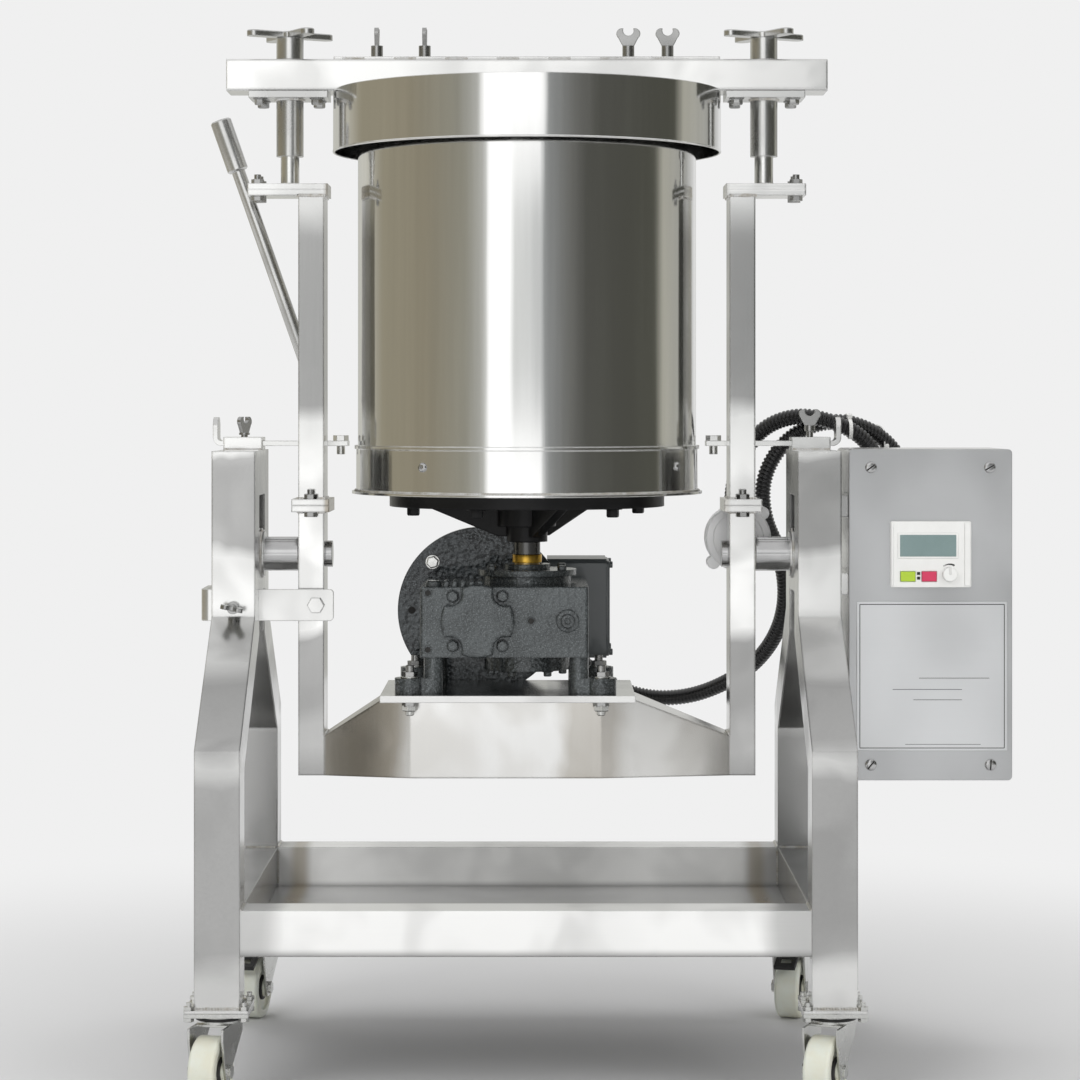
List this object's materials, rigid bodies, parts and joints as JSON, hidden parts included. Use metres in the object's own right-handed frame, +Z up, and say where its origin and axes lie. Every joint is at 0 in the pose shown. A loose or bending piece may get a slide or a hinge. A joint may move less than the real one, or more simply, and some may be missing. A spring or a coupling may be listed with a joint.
{
  "type": "chocolate melanger",
  "caption": "Tilting stone grinder for chocolate: drum with granite base and rollers on a worm gear motor, under a lifting bridge and lid, in a cradle on a wheeled stand.",
  "frame": {"origin": "on the floor under the drum axis, midway between the side frames", "axes": "+X to the right seen from the front, where the control box is; +Y to the back; +Z up"},
  "size_m": [0.938, 0.6856, 1.2019],
  "materials": {
    "polished_steel": "polished stainless sheet",
    "brushed_steel": "ground and pickled stainless tube and plate",
    "panel_aluminium": "brushed sheet",
    "zinc_steel": "bright zinc plate",
    "black_casting": "black enamelled casting",
    "grey_casting": "dark grey hammered paint on a casting",
    "motor_paint": "dark grey painted die casting",
    "shaft_steel": "ground steel",
    "bronze": "machined bronze",
    "granite": null,
    "white_nylon": "cast ivory nylon",
    "black_plastic": "moulded black nylon",
    "conduit_plastic": "corrugated black hose",
    "grey_plastic": "moulded light grey plastic",
    "white_plastic": "moulded white plastic",
    "green_plastic": "moulded lime green plastic",
    "red_plastic": "moulded crimson plastic"
  },
  "bodies": {
    "stand": {"left_side_frame": "brushed_steel", "right_side_frame": "brushed_steel", "cross_rails": "brushed_steel", "bearing_blocks": "brushed_steel", "control_box": "brushed_steel", "control_panel": "panel_aluminium", "keypad": "white_plastic", "cable_glands": "grey_plastic", "caster_plates": "zinc_steel", "caster_bolts": "zinc_steel", "motor_conduit": "conduit_plastic", "junction_conduit": "conduit_plastic"},
    "cradle": {"lower_frame": "brushed_steel", "upper_uprights": "brushed_steel", "cradle_bolts": "zinc_steel", "trunnion_shafts": "brushed_steel", "tilt_lever": "brushed_steel", "motor_plate": "brushed_steel", "gearbox_housing": "grey_casting", "gearbox_covers": "grey_casting", "motor_frame": "motor_paint", "fan_cover": "motor_paint", "terminal_box": "motor_paint", "junction_box": "grey_plastic"},
    "worm": {"worm_shaft": "shaft_steel"},
    "drum": {"drum_shell": "polished_steel", "drum_hub": "black_casting", "base_stone": "granite", "worm_wheel": "bronze"},
    "bridge": {"bridge_beam": "brushed_steel", "column_sleeves": "brushed_steel", "lid": "polished_steel", "roller_yoke": "brushed_steel"},
    "roller_stone_left": {"roller_stone_left": "granite"},
    "handwheel_left": {"handwheel_left": "brushed_steel"},
    "roller_stone_right": {"roller_stone_right": "granite"},
    "handwheel_right": {"handwheel_right": "brushed_steel"},
    "wing_bolt_1": {"wing_bolt_1": "brushed_steel"},
    "wing_bolt_2": {"wing_bolt_2": "brushed_steel"},
    "wing_bolt_3": {"wing_bolt_3": "brushed_steel"},
    "wing_bolt_4": {"wing_bolt_4": "brushed_steel"},
    "latch_bar_left": {"latch_bar_left": "brushed_steel"},
    "latch_screw_left": {"latch_screw_left": "brushed_steel"},
    "latch_bar_right": {"latch_bar_right": "brushed_steel"},
    "latch_screw_right": {"latch_screw_right": "brushed_steel"},
    "stop_bar": {"stop_bar": "brushed_steel"},
    "stop_screw": {"stop_screw": "brushed_steel"},
    "speed_knob": {"speed_knob": "white_plastic"},
    "start_button": {"start_button": "green_plastic"},
    "stop_button": {"stop_button": "red_plastic"},
    "caster_fork_front_left": {"caster_fork_front_left": "zinc_steel"},
    "caster_wheel_front_left": {"caster_wheel_front_left": "white_nylon"},
    "caster_fork_front_right": {"caster_fork_front_right": "zinc_steel"},
    "caster_wheel_front_right": {"caster_wheel_front_right": "white_nylon"},
    "caster_fork_rear_left": {"caster_fork_rear_left": "zinc_steel"},
    "caster_wheel_rear_left": {"caster_wheel_rear_left": "white_nylon"},
    "brake_pedal_rear_left": {"brake_pedal_rear_left": "black_plastic"},
    "caster_fork_rear_right": {"caster_fork_rear_right": "zinc_steel"},
    "caster_wheel_rear_right": {"caster_wheel_rear_right": "white_nylon"},
    "brake_pedal_rear_right": {"brake_pedal_rear_right": "black_plastic"}
  },
  "joints": [
    {"name": "tilt", "type": "hinge", "parent": "stand", "child": "cradle", "pos_m": [0, 0, 0.5855], "axis": [1, 0, 0], "range_deg": [0, 90], "deforming": ["motor_conduit", "junction_conduit"]},
    {"name": "drum_spin", "type": "hinge", "parent": "cradle", "child": "drum", "pos_m": [0, 0, 0.66], "axis": [0, 0, 1], "continuous": true},
    {"name": "worm_spin", "type": "hinge", "parent": "cradle", "child": "worm", "pos_m": [-0.056, 0, 0.513], "axis": [0, 1, 0], "continuous": true},
    {"name": "bridge_lift", "type": "slide", "parent": "cradle", "child": "bridge", "axis": [0, 0, 1], "range_m": [0, 0.04]},
    {"name": "roller_left_spin", "type": "hinge", "parent": "bridge", "child": "roller_stone_left", "pos_m": [0, 0, 0.8113], "axis": [1, 0, 0], "continuous": true},
    {"name": "handwheel_left_turn", "type": "hinge", "parent": "bridge", "child": "handwheel_left", "pos_m": [-0.278, 0, 1.19], "axis": [0, 0, 1], "continuous": true},
    {"name": "roller_right_spin", "type": "hinge", "parent": "bridge", "child": "roller_stone_right", "pos_m": [0, 0, 0.8113], "axis": [1, 0, 0], "continuous": true},
    {"name": "handwheel_right_turn", "type": "hinge", "parent": "bridge", "child": "handwheel_right", "pos_m": [0.278, 0, 1.19], "axis": [0, 0, 1], "continuous": true},
    {"name": "wing_bolt_1_turn", "type": "hinge", "parent": "bridge", "child": "wing_bolt_1", "pos_m": [-0.176, 0, 1.17], "axis": [0, 0, 1], "continuous": true},
    {"name": "wing_bolt_2_turn", "type": "hinge", "parent": "bridge", "child": "wing_bolt_2", "pos_m": [-0.12, 0, 1.17], "axis": [0, 0, 1], "continuous": true},
    {"name": "wing_bolt_3_turn", "type": "hinge", "parent": "bridge", "child": "wing_bolt_3", "pos_m": [0.119, 0, 1.17], "axis": [0, 0, 1], "continuous": true},
    {"name": "wing_bolt_4_turn", "type": "hinge", "parent": "bridge", "child": "wing_bolt_4", "pos_m": [0.165, 0, 1.17], "axis": [0, 0, 1], "continuous": true},
    {"name": "latch_left_slide", "type": "slide", "parent": "stand", "child": "latch_bar_left", "axis": [-1, 0, 0], "range_m": [0, 0.06]},
    {"name": "latch_screw_left_turn", "type": "hinge", "parent": "stand", "child": "latch_screw_left", "pos_m": [-0.336, 0.045, 0.72], "axis": [0, 0, 1], "continuous": true},
    {"name": "latch_right_slide", "type": "slide", "parent": "stand", "child": "latch_bar_right", "axis": [1, 0, 0], "range_m": [0, 0.06]},
    {"name": "latch_screw_right_turn", "type": "hinge", "parent": "stand", "child": "latch_screw_right", "pos_m": [0.336, 0.045, 0.72], "axis": [0, 0, 1], "continuous": true},
    {"name": "stop_bar_slide", "type": "slide", "parent": "stand", "child": "stop_bar", "axis": [-1, 0, 0], "range_m": [0, 0.05]},
    {"name": "stop_screw_turn", "type": "hinge", "parent": "stand", "child": "stop_screw", "pos_m": [-0.336, -0.09, 0.528], "axis": [0, -1, 0], "continuous": true},
    {"name": "speed_knob_turn", "type": "hinge", "parent": "stand", "child": "speed_knob", "pos_m": [0.487, -0.07, 0.565], "axis": [0, -1, 0], "range_deg": [-150, 150]},
    {"name": "start_press", "type": "slide", "parent": "stand", "child": "start_button", "axis": [0, 1, 0], "range_m": [0, 0.0012], "stiffness_N_per_m": 800},
    {"name": "stop_press", "type": "slide", "parent": "stand", "child": "stop_button", "axis": [0, 1, 0], "range_m": [0, 0.0012], "stiffness_N_per_m": 800},
    {"name": "swivel_front_left", "type": "hinge", "parent": "stand", "child": "caster_fork_front_left", "pos_m": [-0.336, -0.235, 0.09], "axis": [0, 0, 1], "continuous": true},
    {"name": "roll_front_left", "type": "hinge", "parent": "caster_fork_front_left", "child": "caster_wheel_front_left", "pos_m": [-0.34224, -0.26434, 0.0375], "axis": [0.9781, -0.2079, 0], "continuous": true},
    {"name": "swivel_front_right", "type": "hinge", "parent": "stand", "child": "caster_fork_front_right", "pos_m": [0.336, -0.235, 0.09], "axis": [0, 0, 1], "continuous": true},
    {"name": "roll_front_right", "type": "hinge", "parent": "caster_fork_front_right", "child": "caster_wheel_front_right", "pos_m": [0.32476, -0.26282, 0.0375], "axis": [0.9272, -0.3746, 0], "continuous": true},
    {"name": "swivel_rear_left", "type": "hinge", "parent": "stand", "child": "caster_fork_rear_left", "pos_m": [-0.336, 0.235, 0.09], "axis": [0, 0, 1], "continuous": true},
    {"name": "roll_rear_left", "type": "hinge", "parent": "caster_fork_rear_left", "child": "caster_wheel_rear_left", "pos_m": [-0.34121, 0.20546, 0.0375], "axis": [0.9848, -0.1736, 0], "continuous": true},
    {"name": "brake_rear_left", "type": "hinge", "parent": "caster_fork_rear_left", "child": "brake_pedal_rear_left", "pos_m": [-0.3426, 0.19758, 0.083], "axis": [0.9848, -0.1736, 0], "range_deg": [0, 12]},
    {"name": "swivel_rear_right", "type": "hinge", "parent": "stand", "child": "caster_fork_rear_right", "pos_m": [0.336, 0.235, 0.09], "axis": [0, 0, 1], "continuous": true},
    {"name": "roll_rear_right", "type": "hinge", "parent": "caster_fork_rear_right", "child": "caster_wheel_rear_right", "pos_m": [0.32773, 0.20616, 0.0375], "axis": [0.9613, -0.2756, 0], "continuous": true},
    {"name": "brake_rear_right", "type": "hinge", "parent": "caster_fork_rear_right", "child": "brake_pedal_rear_right", "pos_m": [0.32553, 0.19847, 0.083], "axis": [0.9613, -0.2756, 0], "range_deg": [0, 12]}
  ],
  "couplings": [
    {"joint": "worm_spin", "follows": "drum_spin", "ratio": 15},
    {"joint": "roller_left_spin", "follows": "drum_spin", "ratio": -1.1667},
    {"joint": "roller_right_spin", "follows": "drum_spin", "ratio": 1.1667}
  ]
}
